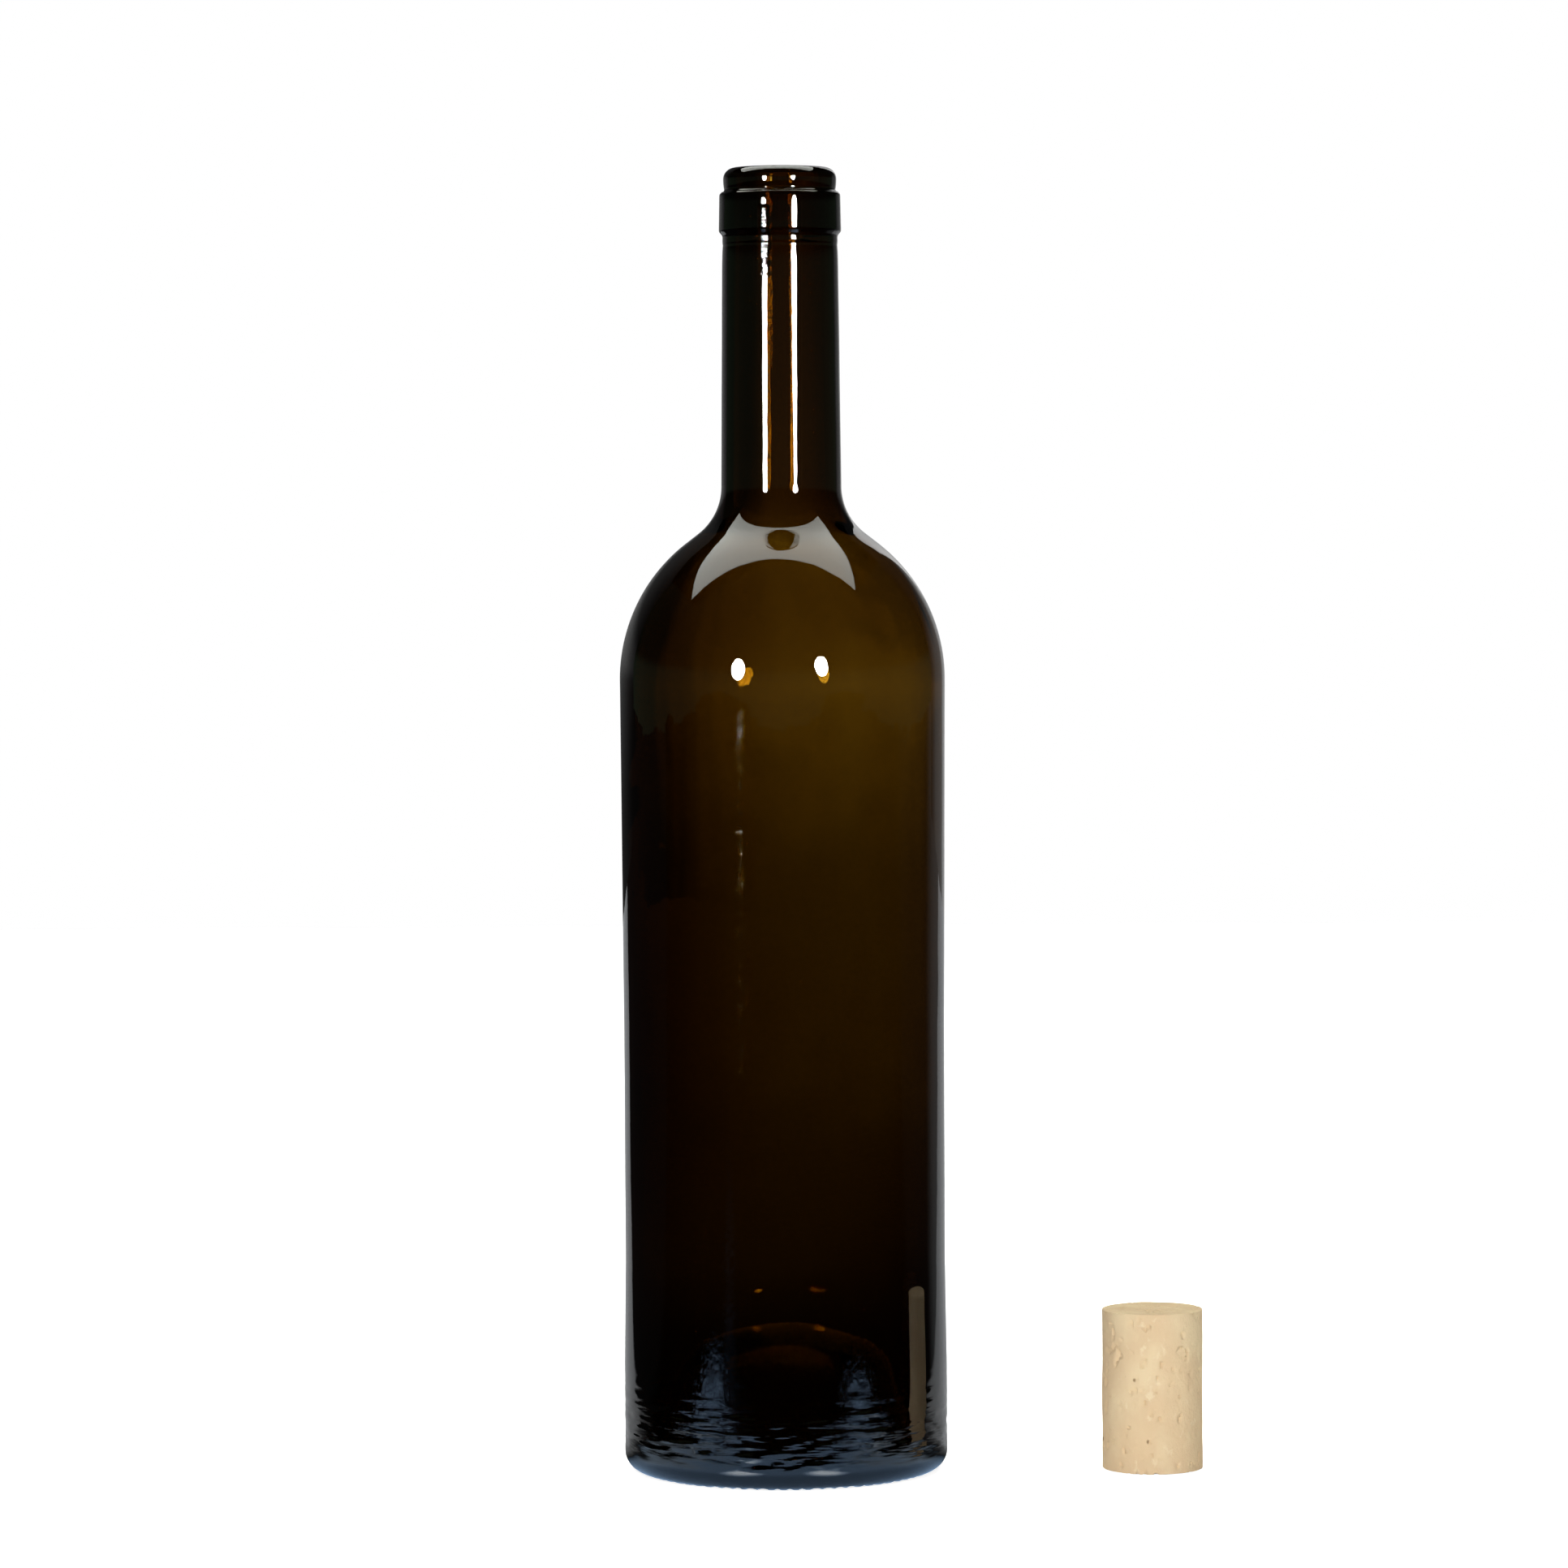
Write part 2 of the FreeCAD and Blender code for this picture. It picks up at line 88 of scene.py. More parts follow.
class GlassSettings(bpy.types.PropertyGroup):
    """Sizes of the blown glass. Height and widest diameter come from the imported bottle."""

    heel_radius: length("Heel", 0.0383, "Radius of the body just above its heel")
    heel_rounding: length("Heel rounding", 0.0046, "Rounding between the wall and the foot")
    heel_top: length("Heel top", 0.026, "Height where the wall starts to lean in to the panel")
    bearing_width: length("Foot width", 0.0024, "Width of the flat ring that the bottle stands on")
    foot_rounding: length("Foot rounding", 0.0015, "Rounding between the foot and the punt")
    panel_radius: length("Panel", 0.03795, "Radius of the recessed label panel")
    panel_bottom: length("Panel bottom", 0.050, "Height where the panel starts")
    panel_top: length("Panel top", 0.105, "Height where the panel ends")
    shoulder_height: length("Shoulder height", 0.18763, "Height where the shoulder starts to turn in")
    shoulder_rounding: length("Shoulder rounding", 0.0404, "Radius of the shoulder's arc")
    shoulder_incline: length("Incline", 0.0039, "Straight stretch between shoulder and neck root")
    neck_root_radius: length("Neck root", 0.0142, "Radius of the neck where it leaves the shoulder")
    neck_root_rounding: length("Neck root rounding", 0.0141, "Radius of the arc under the neck")
    neck_start: length("Neck start", 0.2335, "Height where the neck leaves the arc under it")
    neck_top_radius: length("Neck top", 0.0136, "Radius of the neck below the band")
    neck_groove: length("Neck groove", 0.00008, "Depth of the faint groove below the band")
    lip_height: length("Lip height", 0.0058, "Height of the lip above the band")
    lip_radius: length("Lip", 0.01335, "Radius of the lip")
    lip_bulge: length("Lip bulge", 0.0002, "How much the lip swells above its foot")
    lip_rounding: length("Lip rounding", 0.0027, "Rounding of the lip's outer edge")
    ledge_rounding: length("Ledge rounding", 0.0007, "Rounding where the lip rises from the band")
    band_height: length("Band height", 0.0093, "Height of the band")
    band_radius: length("Band", 0.01445, "Radius of the band at its lower edge")
    band_taper: length("Band taper", 0.00015, "How much the band narrows towards its top")
    band_rounding: length("Band rounding", 0.0008, "Rounding of the band's top edge")
    band_bevel: length("Band bevel", 0.0009, "Height of the bevel under the band")
    bore_radius: length("Bore", 0.00925, "Radius of the bore at the mouth")
    bore_length: length("Bore length", 0.045, "Depth over which the bore widens")
    bore_flare: length("Bore flare", 0.00075, "How much the bore widens over its length")
    mouth_rounding: length("Mouth rounding", 0.0008, "Rounding of the mouth's inner edge")
    neck_wall: length("Neck wall", 0.0037, "Glass at the root of the neck")
    inner_root_rounding: length("Inner root rounding", 0.015, "Arc inside the root of the neck")
    shoulder_wall: length("Shoulder wall", 0.00265, "Glass where the shoulder starts")
    shoulder_drop: length("Shoulder drop", 0.0012, "How much lower the hollow's shoulder starts")
    inner_shoulder_rounding: length("Inner shoulder", 0.0412, "Radius of the hollow's shoulder arc")
    panel_wall: length("Panel wall", 0.0031, "Glass at the label panel")
    heel_wall: length("Heel wall", 0.0035, "Glass at the heel")
    heel_wall_top: length("Heel wall top", 0.034, "Height where the heel's wall starts to thin")
    wall_shift: length("Wall shift", 0.0006, "How far the hollow is off the axis at mid height")
    valley_rounding: length("Valley rounding", 0.0016, "Rounding of the valley round the punt")
    punt_depth: length("Punt depth", 0.030, "Height of the punt's hollow under the bottle")
    punt_wall: length("Punt wall", 0.004, "Glass over the punt")
    punt_slope: angle("Punt slope", 21.0, "Lean of the punt's side from upright")
    punt_corner: length("Punt corner", 0.009, "Rounding between the punt's side and its crown")
    punt_crown: length("Punt crown", 0.042, "Radius of the punt's crown")
    knurl_depth: length("Knurl depth", 0.0003, "Depth of the foot's knurling")
    inner_waves: length("Inner waves", 0.00035, "Unevenness of the inner wall")
    outer_waves: length("Outer waves", 0.00006, "Unevenness of the outer wall")
    heel_ripples: length("Heel ripples", 0.00032, "Depth of the chill ripples above the heel")
    tint: colour("Tint", (0.636, 0.529, 0.090), "What a long way through the glass leaves of white")
    tint_density: number("Tint density", 1500.0, "How fast the glass takes up light, per metre")
    ior: number("Refraction", 1.52, "Refractive index of bottle glass")


class CorkSettings(bpy.types.PropertyGroup):
    """Sizes and colours of the drawn cork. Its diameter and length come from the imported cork."""

    edge: length("Edge", 0.00035, "Width of the broken edge at both ends")
    pit_depth: length("Pit depth", 0.0006, "Depth of the pores that open on the surface")
    swell: length("Unevenness", 0.00025, "Slow unevenness of the surface")
    pale: colour("Pale", (0.80, 0.63, 0.385), "The clean cork")
    warm: colour("Warm", (0.74, 0.545, 0.325), "The warmer cork between")
    pore: colour("Pore", (0.33, 0.20, 0.09), "The bottom of a pore")
    fleck: colour("Fleck", (0.82, 0.665, 0.43), "Pale flecks round the pores")


class StageSettings(bpy.types.PropertyGroup):
    """Where the camera and the lights stand."""

    camera_distance: length("Camera distance", 1.412, "From the bottle's axis to the camera")
    camera_side: length("Camera side", 0.00027, "How far the camera stands to the right")
    camera_height: length("Camera height", 0.225, "Height of the camera above the floor")
    camera_pitch: angle("Camera pitch", 2.528, "How far the camera looks down")
    camera_roll: angle("Camera roll", 0.3, "How far the camera leans")
    lens: number("Lens", 137.1, "Focal length in millimetres")
    lamp_distance: length("Lamp distance", 1.3, "From the bottle's axis to the front lamps")
    lamp_width: length("Lamp width", 0.205, "Width of each front lamp")
    lamp_height: length("Lamp height", 0.295, "Height of each front lamp")
    lamp_radiance: number("Lamp", 240.0, "Radiance of the front lamps, as polished glass shows them")
    lamp_fill: number("Lamp fill", 46.0, "Radiance of the front lamps, as they light the cork")
    roof_radiance: number("Roof", 3.7, "Radiance of the softbox above")
    world_light: number("Fill", 0.21, "Light from all round")


# ---------------------------------------------------------------- outlines


def arc_points(centre, radius, first, last, steps):
    """Points of an arc from one angle to the other, both ends included."""
    return [
        (
            centre[0] + radius * math.cos(first + (last - first) * step / steps),
            centre[1] + radius * math.sin(first + (last - first) * step / steps),
        )
        for step in range(steps + 1)
    ]


def straight_points(start, end, spacing):
    """Points along a straight line, both ends included, no further apart than the spacing."""
    steps = max(1, math.ceil(math.dist(start, end) / spacing))
    return [
        (start[0] + (end[0] - start[0]) * step / steps, start[1] + (end[1] - start[1]) * step / steps)
        for step in range(steps + 1)
    ]


def curve_points(start, corner, end, steps):
    """A smooth bend from start to end that heads for the corner between them."""
    run = []
    for step in range(steps + 1):
        share = step / steps
        run.append(
            tuple(
                (1 - share) ** 2 * a + 2 * share * (1 - share) * b + share**2 * c
                for a, b, c in zip(start, corner, end)
            )
        )
    return run


def joined(*stretches):
    """One run of points, with each shared end kept once."""
    run = []
    for stretch in stretches:
        for point in stretch:
            if not run or math.dist(run[-1], point) > 2 * SAME_PLACE:
                run.append(point)
    return run


def punt_stretch(glass, wall, steps):
    """The punt from the top of its crown down its side, at a distance outside its hollow."""
    lean = glass.punt_slope
    foot = (glass.heel_radius - glass.heel_rounding - glass.bearing_width, glass.foot_rounding)
    contact = (
        foot[0] - glass.foot_rounding * math.cos(lean),
        foot[1] - glass.foot_rounding * math.sin(lean),
    )
    crown_up = glass.punt_depth - glass.punt_crown
    start = (
        contact[0] - glass.punt_corner * math.cos(lean),
        contact[1] - glass.punt_corner * math.sin(lean),
    )
    along = -start[0] * math.sin(lean) + (start[1] - crown_up) * math.cos(lean)
    beside = start[0] ** 2 + (start[1] - crown_up) ** 2 - along**2
    travel = math.sqrt((glass.punt_crown - glass.punt_corner) ** 2 - beside) - along
    corner = (start[0] - travel * math.sin(lean), start[1] + travel * math.cos(lean))
    tilt = math.atan2(corner[1] - crown_up, corner[0])
    crown = arc_points((0.0, crown_up), glass.punt_crown + wall, math.pi / 2, tilt, steps)
    bend = arc_points(corner, glass.punt_corner + wall, tilt, lean, steps)
    low = (contact[0] + wall * math.cos(lean), contact[1] + wall * math.sin(lean))
    return crown, bend, low


def shoulder_stretch(glass, start, rounding, neck_radius, root_rounding):
    """The shoulder's arc, a short straight incline, and the arc of the neck's root."""
    centre = (start[0] - rounding, start[1])
    reach = rounding + root_rounding
    across = neck_radius + root_rounding - centre[0]
    rise = math.sqrt(reach**2 + glass.shoulder_incline**2 - across**2)
    root = (neck_radius + root_rounding, centre[1] + rise)
    lean = math.atan2(rise, across) - math.atan2(glass.shoulder_incline, reach)
    shoulder = arc_points(centre, rounding, 0.0, lean, 26)
    bend = arc_points(root, root_rounding, math.pi + lean, math.pi, 14)
    return joined(shoulder, straight_points(shoulder[-1], bend[0], 1.3 * MM), bend)


def foot_across(glass):
    """How far out the flat ring of the foot starts."""
    return glass.heel_radius - glass.heel_rounding - glass.bearing_width


def foot_and_wall(glass, shoulder_radius):
    """From the punt's edge round the foot and the heel, and up the wall to the shoulder."""
    foot = (foot_across(glass), glass.foot_rounding)
    heel = (glass.heel_radius - glass.heel_rounding, glass.heel_rounding)
    heel_top = (glass.heel_radius, glass.heel_top)
    panel_low = (glass.panel_radius, glass.panel_bottom)
    panel_high = (glass.panel_radius, glass.panel_top)
    return joined(
        arc_points(foot, glass.foot_rounding, math.pi + glass.punt_slope, math.pi * 1.5, 4),
        straight_points((foot[0], 0.0), (heel[0], 0.0), 0.8 * MM),
        arc_points(heel, glass.heel_rounding, -math.pi / 2, 0.0, 12),
        straight_points((glass.heel_radius, glass.heel_rounding), heel_top, 0.55 * MM),
        straight_points(heel_top, panel_low, 2.6 * MM),
        straight_points(panel_low, panel_high, 3.0 * MM),
        straight_points(panel_high, (shoulder_radius, glass.shoulder_height), 3.0 * MM),
    )


def neck_and_band(glass, band_low, ledge):
    """Up the neck, over the faint groove under the band, and up the band to the ledge."""
    neck, band = glass.neck_top_radius, glass.band_radius
    overhang = band - neck
    bevel_low = band_low - glass.band_bevel
    groove_start = (neck + 0.15 * MM, band_low - 11.0 * MM)
    groove = (neck - glass.neck_groove, band_low - 3.1 * MM)
    groove_end = (neck, bevel_low - 0.5 * MM)
    band_start = (band, band_low + 0.6 * MM)
    rounding = glass.band_rounding
    band_top = band - glass.band_taper
    return joined(
        straight_points((glass.neck_root_radius, glass.neck_start), groove_start, 2.4 * MM),
        curve_points(groove_start, (neck + 0.12 * MM, band_low - 4.6 * MM), groove, 6),
        curve_points(groove, (neck + 0.06 * MM, band_low - 2.6 * MM), groove_end, 4),
        curve_points(
            groove_end,
            (neck, bevel_low - 0.03 * MM),
            (neck + 0.2 * overhang, band_low - 0.8 * glass.band_bevel),
            5,
        ),
        curve_points(
            (neck + 0.8 * overhang, band_low - 0.11 * glass.band_bevel),
            (band, band_low + 0.108 * MM),
            band_start,
            5,
        ),
        straight_points(band_start, (band_top, ledge - rounding), 2.2 * MM),
        arc_points((band_top - rounding, ledge - rounding), rounding, 0.0, math.pi / 2, 5),
    )


def lip(glass, ledge, top):
    """From the ledge up the swollen lip and over its rounding."""
    foot = glass.lip_radius - glass.lip_bulge
    corner, rounding = glass.ledge_rounding, glass.lip_rounding
    return joined(
        arc_points((foot + corner, ledge + corner), corner, math.pi * 1.5, math.pi, 4),
        curve_points(
            (foot, ledge + corner),
            (glass.lip_radius, ledge + 1.6 * MM),
            (glass.lip_radius, top - rounding),
            7,
        ),
        arc_points((glass.lip_radius - rounding, top - rounding), rounding, 0.0, math.pi / 2, 10),
    )


def outside_outline(glass, top, shoulder_radius):
    """From the middle of the punt out over the foot and up the outside to the lip."""
    crown, bend, low = punt_stretch(glass, 0.0, 8)
    ledge = top - glass.lip_height
    return joined(
        crown,
        bend,
        straight_points(bend[-1], low, 3.0 * MM),
        foot_and_wall(glass, shoulder_radius),
        shoulder_stretch(
            glass,
            (shoulder_radius, glass.shoulder_height),
            glass.shoulder_rounding,
            glass.neck_root_radius,
            glass.neck_root_rounding,
        ),
        neck_and_band(glass, ledge - glass.band_height, ledge),
        lip(glass, ledge, top),
    )


def inside_outline(glass, top, shoulder_radius):
    """From the mouth down the bore and the wall, over the valley and up to the middle of the punt."""
    crown, bend, low = punt_stretch(glass, glass.punt_wall, 8)
    wall = glass.heel_radius - glass.heel_wall
    panel = glass.panel_radius - glass.panel_wall
    shoulder_in = (shoulder_radius - glass.shoulder_wall, glass.shoulder_height - glass.shoulder_drop)
    lean = glass.punt_slope
    spare = wall - glass.valley_rounding - (low[0] - glass.punt_wall * math.cos(lean))
    lift = glass.valley_rounding + glass.punt_wall - spare * math.cos(lean)
    middle = (
        wall - glass.valley_rounding,
        low[1] - glass.punt_wall * math.sin(lean) + lift / math.sin(lean),
    )
    valley = arc_points(middle, glass.valley_rounding, math.pi + lean, math.tau, 8)
    neck_in = glass.neck_root_radius - glass.neck_wall
    bore, rounding = glass.bore_radius, glass.mouth_rounding
    bore_low = (bore + glass.bore_flare, top - glass.bore_length)
    shoulder = shoulder_stretch(
        glass, shoulder_in, glass.inner_shoulder_rounding, neck_in, glass.inner_root_rounding
    )
    upward = joined(
        crown,
        bend,
        straight_points(bend[-1], valley[0], 2.5 * MM),
        valley,
        straight_points((wall, middle[1]), (wall, glass.heel_wall_top), 2.6 * MM),
        straight_points((wall, glass.heel_wall_top), (panel, glass.panel_bottom), 3.4 * MM),
        straight_points((panel, glass.panel_bottom), (panel, glass.panel_top), 3.6 * MM),
        straight_points((panel, glass.panel_top), shoulder_in, 3.6 * MM),
        shoulder,
        straight_points(shoulder[-1], bore_low, 3.4 * MM),
        straight_points(bore_low, (bore, top - rounding), 3.6 * MM),
        arc_points((bore + rounding, top - rounding), rounding, math.pi, math.pi / 2, 5),
    )
    return upward[::-1]


# ---------------------------------------------------------------- modelling helpers


def deselect_all():
    if bpy.context.object and bpy.context.object.mode != "OBJECT":
        bpy.ops.object.mode_set(mode="OBJECT")
    bpy.ops.object.select_all(action="DESELECT")


def make_active(piece):
    deselect_all()
    piece.select_set(True)
    bpy.context.view_layer.objects.active = piece


def pick(piece, kind, wanted):
    """Select just the vertices, edges or faces that a test picks out, and enter edit mode."""
    make_active(piece)
    mesh = piece.data
    kinds = {"VERT": mesh.vertices, "EDGE": mesh.edges, "FACE": mesh.polygons}
    bpy.context.tool_settings.mesh_select_mode = [kind == each for each in kinds]
    for items in kinds.values():
        items.foreach_set("select", [False] * len(items))
    found = False
    for item in kinds[kind]:
        item.select = wanted(item)
        found = found or item.select
    if not found:
        raise RuntimeError(f"nothing to select on {piece.name}")
    bpy.ops.object.mode_set(mode="EDIT")


def heal():
    """In edit mode, merge what coincides and turn all faces outwards."""
    bpy.ops.mesh.select_all(action="SELECT")
    bpy.ops.mesh.remove_doubles(threshold=SAME_PLACE)
    bpy.ops.mesh.normals_make_consistent(inside=False)
    bpy.ops.object.mode_set(mode="OBJECT")


def lathe(name, outline, start, turns):
    """Draw an outline point by point, and spin it round the upright axis by steps and angles."""
    deselect_all()
    bpy.ops.mesh.primitive_plane_add(size=MM)
    piece = bpy.context.object
    piece.name = name
    bpy.ops.object.mode_set(mode="EDIT")
    bpy.ops.mesh.select_mode(type="VERT")
    bpy.ops.mesh.merge(type="CENTER")
    ray = Vector((math.cos(start), math.sin(start), 0.0))
    bpy.ops.transform.translate(value=ray * outline[0][0] + Vector((0, 0, outline[0][1])))
    for last, point in zip(outline, outline[1:]):
        step = ray * (point[0] - last[0]) + Vector((0, 0, point[1] - last[1]))
        bpy.ops.mesh.extrude_region_move(TRANSFORM_OT_translate={"value": step})
    bpy.ops.mesh.select_all(action="SELECT")
    for steps, turn in turns:
        bpy.ops.mesh.spin(steps=steps, angle=turn, center=(0, 0, 0), axis=(0, 0, 1))
    heal()
    return piece


def weigh(piece, name, weight):
    """A vertex group whose weights come from a function of place."""
    group = piece.vertex_groups.new(name=name)
    for vertex in piece.data.vertices:
        value = weight(vertex.co, vertex.normal)
        if value > 0:
            group.add([vertex.index], min(value, 1.0), "REPLACE")


def displace(piece, texture, strength, middle, group="", scale=(1, 1, 1), place=(0, 0, 0)):
    """Push the surface in or out by a texture, stretched by a helper that is removed again."""
    helper = bpy.data.objects.new("stretch", None)
    bpy.context.collection.objects.link(helper)
    helper.scale = scale
    helper.location = place
    bpy.context.view_layer.update()
    modifier = piece.modifiers.new("Displace", "DISPLACE")
    modifier.texture = texture
    modifier.texture_coords = "OBJECT"
    modifier.texture_coords_object = helper
    modifier.strength = strength
    modifier.mid_level = middle
    modifier.vertex_group = group
    make_active(piece)
    bpy.ops.object.modifier_apply(modifier=modifier.name)
    bpy.data.objects.remove(helper)
    bpy.data.textures.remove(texture)


def clouds(size, depth=2):
    texture = bpy.data.textures.new("clouds", "CLOUDS")
    texture.noise_scale = size
    texture.noise_depth = depth
    return texture


def ramp(low, high, value):
    """0 at low, 1 at high, smooth between."""
    share = min(max((value - low) / (high - low), 0.0), 1.0)
    return share * share * (3 - 2 * share)


def finish_piece(piece, material, slot, *nodes):
    """The piece's one material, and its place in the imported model."""
    make_active(piece)
    piece.data.materials.clear()
    piece.data.materials.append(material)
    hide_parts(*nodes)
    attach(piece, BODY)


# ---------------------------------------------------------------- materials

# Relief of the glass, as shares of the bump's reach.
PEEL_LEVEL = 0.06
GRIT_LEVEL = 0.22
BODY_BEADS = 0.8
NECK_BEADS = 1.2
# Where the two gritty patches above the heel lie, across the bottle.
GRIT_PATCHES = (-0.0165, 0.0178)
# Squared radii between which the inner wall ends and the outer wall starts.
SQUARED_WALL = (0.00130, 0.00138)


class Shading:
    """Short ways to add and join nodes. A value is a number, a colour or another node's socket."""

    def __init__(self, tree):
        self.nodes, self.links = tree.nodes, tree.links

    def fill(self, node, inputs):
        """Give a node's inputs, by name or number, their values."""
        for key, value in inputs.items():
            socket = node.inputs[key]
            if isinstance(value, bpy.types.NodeSocket):
                self.links.new(value, socket)
            else:
                socket.default_value = (*value, 1.0) if socket.type == "RGBA" else value

    def add(self, kind, inputs=None, **settings):
        node = self.nodes.new(f"ShaderNode{kind}")
        for name, value in settings.items():
            setattr(node, name, value)
        self.fill(node, inputs or {})
        return node

    def math(self, operation, *values):
        return self.add("Math", dict(enumerate(values)), operation=operation).outputs["Value"]

    def fold(self, operation, first, *others):
        """One value out of many, two by two."""
        for other in others:
            first = self.math(operation, first, other)
        return first

    def times(self, *values):
        return self.fold("MULTIPLY", *values)

    def step(self, source, low, high, to_low=0.0, to_high=1.0):
        """Smooth change of level while the source goes from low to high."""
        inputs = {"Value": source, "From Min": low, "From Max": high, "To Min": to_low, "To Max": to_high}
        return self.add("MapRange", inputs, interpolation_type="SMOOTHSTEP").outputs["Result"]

    def window(self, source, rise, fall, level=1.0):
        """The level between two smooth steps, and 0 before and after them."""
        return self.times(self.step(source, *rise, 0.0, level), self.step(source, *fall))

    def mix(self, factor, first, second):
        """A colour between two."""
        node = self.add("Mix", {"Factor": factor}, data_type="RGBA")
        colours = [key for key, socket in enumerate(node.inputs) if socket.type == "RGBA"]
        self.fill(node, dict(zip(colours, (first, second))))
        return next(socket for socket in node.outputs if socket.type == "RGBA")

    def local(self, scale=(1, 1, 1)):
        """The piece's own coordinates, stretched."""
        place = self.add("TexCoord").outputs["Object"]
        return self.add("Mapping", {"Vector": place, "Scale": scale}).outputs["Vector"]

    def position(self):
        return self.add("NewGeometry").outputs["Position"]

    def split(self, vector):
        """X, Y and Z of a vector."""
        return self.add("SeparateXYZ", {"Vector": vector}).outputs

    def distance(self, vector, spot=(0.0, 0.0, 0.0)):
        return self.add("VectorMath", {0: vector, 1: spot}, operation="DISTANCE").outputs["Value"]

    def noise(self, vector, scale, detail=3.0, rough=0.5):
        inputs = {"Vector": vector, "Scale": scale, "Detail": detail, "Roughness": rough}
        return self.add("TexNoise", inputs).outputs["Fac"]

    def bump(self, height, strength, reach):
        inputs = {"Height": height, "Strength": strength, "Distance": reach}
        return self.add("Bump", inputs).outputs["Normal"]

    def glow(self, strength, tone=WHITE, kind="Emission"):
        return self.add(kind, {"Color": tone, "Strength": strength}).outputs[0]

    def show(self, plain, by_ray):
        """What each kind of ray sees instead of the plain surface, with the last kind on top."""
        path = self.add("LightPath").outputs
        for ray, shader in by_ray.items():
            plain = self.add("MixShader", {0: path[f"Is {ray} Ray"], 1: plain, 2: shader}).outputs[0]
        return plain


def new_material(name):
    """A material, its shading, its principled shader and its output."""
    material = bpy.data.materials.new(name)
    material.use_nodes = True
    tree = material.node_tree
    return material, Shading(tree), tree.nodes["Principled BSDF"], tree.nodes["Material Output"]


def heel_relief(shade, across, up, front):
    """The chill marks above the heel: flat ripples, and two gritty patches in front."""
    low = shade.window(up, (0.004, 0.008), (0.024, 0.014))
    ripple = shade.times(shade.noise(shade.local((0.16, 0.16, 1)), 520.0, 2.0), low)
    chill = shade.window(up, (0.006, 0.012), (0.040, 0.032))
    patches = 0.0
    for middle in GRIT_PATCHES:
        off = shade.math("ABSOLUTE", shade.math("SUBTRACT", across, middle))
        patches = shade.math("MAXIMUM", patches, shade.step(off, 0.0075, 0.0035))
    chill = shade.times(chill, shade.times(patches, front))
    grit = shade.times(shade.noise(shade.local((1, 1, 0.6)), 750.0, 2.0), chill, GRIT_LEVEL)
    return ripple, grit


def seam_relief(shade, across, back, up, front):
    """Beads down the front mould seam, sparse on the body and close together on the neck."""
    along = shade.times(across, math.sin(SEAM_ANGLE))
    off = shade.math("ABSOLUTE", shade.math("SUBTRACT", along, shade.times(back, math.cos(SEAM_ANGLE))))
    outer = shade.math("MULTIPLY_ADD", back, back, shade.times(across, across))
    on_body = shade.times(
        shade.window(up, (0.090, 0.110), (0.186, 0.168), BODY_BEADS),
        shade.step(outer, *SQUARED_WALL),
        front,
        shade.step(shade.noise(shade.local(), 1500.0, 1.0), 0.60, 0.72),
        shade.step(off, 0.0009, 0.0003),
    )
    on_neck = shade.times(
        shade.window(up, (0.2805, 0.285), (0.2990, 0.2975), NECK_BEADS),
        shade.step(off, 0.0016, 0.0006),
        front,
    )
    return shade.math("MULTIPLY_ADD", shade.noise(shade.local(), 800.0, 2.0), on_neck, on_body)


def glass_material(glass):
    """Dark olive-amber bottle glass: clear, fire-polished, tinted by its thickness."""
    material, shade, shader, output = new_material("bottle glass")
    finish = {"Base Color": WHITE, "Transmission Weight": 1.0, "IOR": glass.ior, "Roughness": 0.0}
    shade.fill(shader, finish)
    across, back, up = shade.split(shade.local())
    front = shade.step(back, 0.0, -0.005)
    peel = shade.times(shade.noise(shade.local((1, 1, 0.4)), 260.0, 2.0), PEEL_LEVEL)
    ripple, grit = heel_relief(shade, across, up, front)
    beads = seam_relief(shade, across, back, up, front)
    relief = shade.fold("ADD", ripple, peel, beads, grit)
    shade.fill(shader, {"Normal": shade.bump(relief, 1.0, 0.0002)})
    tint = shade.add("VolumeAbsorption", {"Color": glass.tint, "Density": glass.tint_density})
    shade.fill(output, {"Volume": tint.outputs["Volume"]})
    return material


def cork_material(cork):
    """Natural cork: mottled tan, with pale flecks and small dark pores."""
    material, shade, shader, _ = new_material("natural cork")
    place = shade.local((1, 1, 0.7))
    broad = shade.step(shade.noise(place, 110.0, 3.0), 0.35, 0.65)
    grain = shade.step(shade.noise(place, 900.0, 4.0, 0.65), 0.3, 0.7)
    flecks = shade.step(shade.noise(place, 420.0, 3.0, 0.6), 0.60, 0.76)
    cells = shade.add("TexVoronoi", {"Vector": place, "Scale": 210.0}).outputs["Distance"]
    rare = shade.step(shade.noise(place, 160.0, 1.0), 0.56, 0.60)
    pores = shade.times(shade.step(cells, 0.10, 0.03), rare)
    base = shade.mix(broad, cork.pale, cork.warm)
    base = shade.mix(flecks, base, cork.fleck)
    base = shade.mix(pores, base, cork.pore)
    shade.fill(shader, {"Base Color": base, "Roughness": 0.82, "Specular IOR Level": 0.3})
    shade.fill(shader, {"Normal": shade.bump(grain, 0.35, 0.0003)})
    return material


# ---------------------------------------------------------------- the bottle

# The front seam stands a little to the left of the middle.
SEAM_ANGLE = math.radians(270.0 - 15.3)
# The lathe starts beside that seam, and takes a few fine steps before each long half turn.
FINE_STEPS = [math.radians(step) for step in (0.5, 0.3, 0.24, 0.3, 0.5)]
FINE_TURN = sum(FINE_STEPS)
HALF_TURN_STEPS = 112
KNURL_PITCH = math.radians(5.0)
# Heights between which the whole hollow is shifted, and the stretch over which the shift fades.
SHIFT_LOW, SHIFT_HIGH, SHIFT_FADE = 85 * MM, 190 * MM, 55 * MM


def is_outside(place, normal):
    """True on the outer surface, between the heel and the lip."""
    return normal.x * place.x + normal.y * place.y > 0 and place.z > 1.2 * MM


